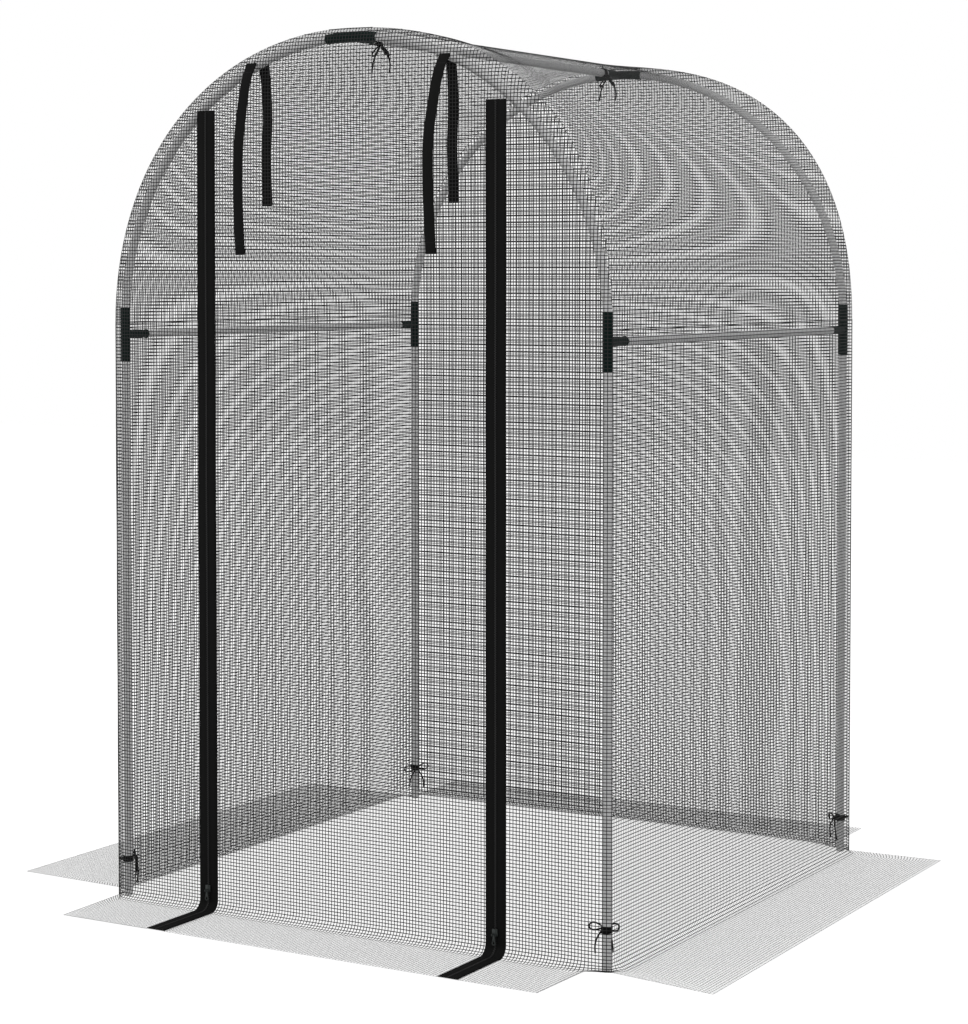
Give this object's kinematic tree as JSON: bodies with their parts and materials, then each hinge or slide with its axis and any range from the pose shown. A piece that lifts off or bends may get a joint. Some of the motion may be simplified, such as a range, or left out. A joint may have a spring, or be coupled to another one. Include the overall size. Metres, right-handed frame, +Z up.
{
  "type": "fruit cage",
  "caption": "Walk-in arched fruit cage: push-fit tube frame under black netting, with a zipped door panel, hold-back straps, corner ties and ground flaps.",
  "frame": {"origin": "on the ground, under the middle of the whole footprint, ground flaps included", "axes": "+Z up; -Y towards the zipped door; +X to the right for someone who faces the door from outside"},
  "size_m": [1.729, 1.6096, 1.8355],
  "materials": {
    "tube": "mid grey powder coat, satin, with a soft bright streak along each tube",
    "fitting": "very dark green moulded plastic, slightly grained",
    "net": "black open square mesh of fine round yarn",
    "zip_tape": "black woven zip tape, fine ribbed",
    "zip_metal": "black lacquered zip slider and pull, satin",
    "webbing": "black woven strap, matt",
    "cord": "black braided tie cord, matt"
  },
  "bodies": {
    "cage": {"post_front_left": "tube", "post_front_right": "tube", "post_rear_left": "tube", "post_rear_right": "tube", "hoop_tube_front_left": "tube", "hoop_tube_front_right": "tube", "hoop_tube_rear_left": "tube", "hoop_tube_rear_right": "tube", "side_rail_left": "tube", "side_rail_right": "tube", "ridge_tube": "tube", "side_tee_front_left": "fitting", "side_tee_front_right": "fitting", "side_tee_rear_left": "fitting", "side_tee_rear_right": "fitting", "apex_tee_front": "fitting", "apex_tee_rear": "fitting", "net_front_left": "net", "net_front_right": "net", "net_front_top": "net", "net_left": "net", "net_right": "net", "net_rear": "net", "net_roof": "net", "flap_front_left": "net", "flap_front_right": "net", "flap_left": "net", "flap_right": "net", "flap_rear": "net", "zip_left_fixed_half": "zip_tape", "zip_right_fixed_half": "zip_tape", "tie_front_left": "cord", "tie_front_right": "cord", "tie_rear_left": "cord", "tie_rear_right": "cord", "tie_ridge_front": "cord", "tie_ridge_rear": "cord"},
    "door": {"net_door": "net", "flap_door": "net", "zip_left_door_half": "zip_tape", "zip_right_door_half": "zip_tape"},
    "slider_left": {"zip_slider_left": "zip_metal"},
    "slider_right": {"zip_slider_right": "zip_metal"},
    "pull_left": {"zip_pull_left": "zip_metal"},
    "pull_right": {"zip_pull_right": "zip_metal"},
    "outer_strap_left": {"strap_outer_left": "webbing"},
    "outer_strap_right": {"strap_outer_right": "webbing"},
    "inner_strap_left": {"strap_inner_left": "webbing"},
    "inner_strap_right": {"strap_inner_right": "webbing"}
  },
  "joints": [
    {"name": "door_lift", "type": "hinge", "parent": "cage", "child": "door", "pos_m": [0.04225, -0.6235, 1.673], "axis": [-1, 0, 0], "range_deg": [0, 95]},
    {"name": "zip_left_run", "type": "slide", "parent": "door", "child": "slider_left", "axis": [0, 0, 1], "range_m": [0, 1.6]},
    {"name": "zip_right_run", "type": "slide", "parent": "door", "child": "slider_right", "axis": [0, 0, 1], "range_m": [0, 1.6]},
    {"name": "pull_left_swing", "type": "hinge", "parent": "slider_left", "child": "pull_left", "pos_m": [-0.30575, -0.6298, 0.0435], "axis": [-1, 0, 0], "range_deg": [0, 170]},
    {"name": "pull_right_swing", "type": "hinge", "parent": "slider_right", "child": "pull_right", "pos_m": [0.39025, -0.6298, 0.0435], "axis": [-1, 0, 0], "range_deg": [0, 170]},
    {"name": "outer_strap_left_swing", "type": "hinge", "parent": "cage", "child": "outer_strap_left", "pos_m": [-0.19175, -0.6238, 1.77288], "axis": [-1, 0, 0], "range_deg": [0, 95]},
    {"name": "outer_strap_right_swing", "type": "hinge", "parent": "cage", "child": "outer_strap_right", "pos_m": [0.27625, -0.6238, 1.77288], "axis": [-1, 0, 0], "range_deg": [0, 95]},
    {"name": "inner_strap_left_swing", "type": "hinge", "parent": "cage", "child": "inner_strap_left", "pos_m": [-0.18175, -0.5887, 1.77], "axis": [1, 0, 0], "range_deg": [0, 85]},
    {"name": "inner_strap_right_swing", "type": "hinge", "parent": "cage", "child": "inner_strap_right", "pos_m": [0.26625, -0.5887, 1.77], "axis": [1, 0, 0], "range_deg": [0, 85]}
  ],
  "couplings": [
    {"joint": "outer_strap_left_swing", "follows": "door_lift", "ratio": 1},
    {"joint": "outer_strap_right_swing", "follows": "door_lift", "ratio": 1}
  ]
}
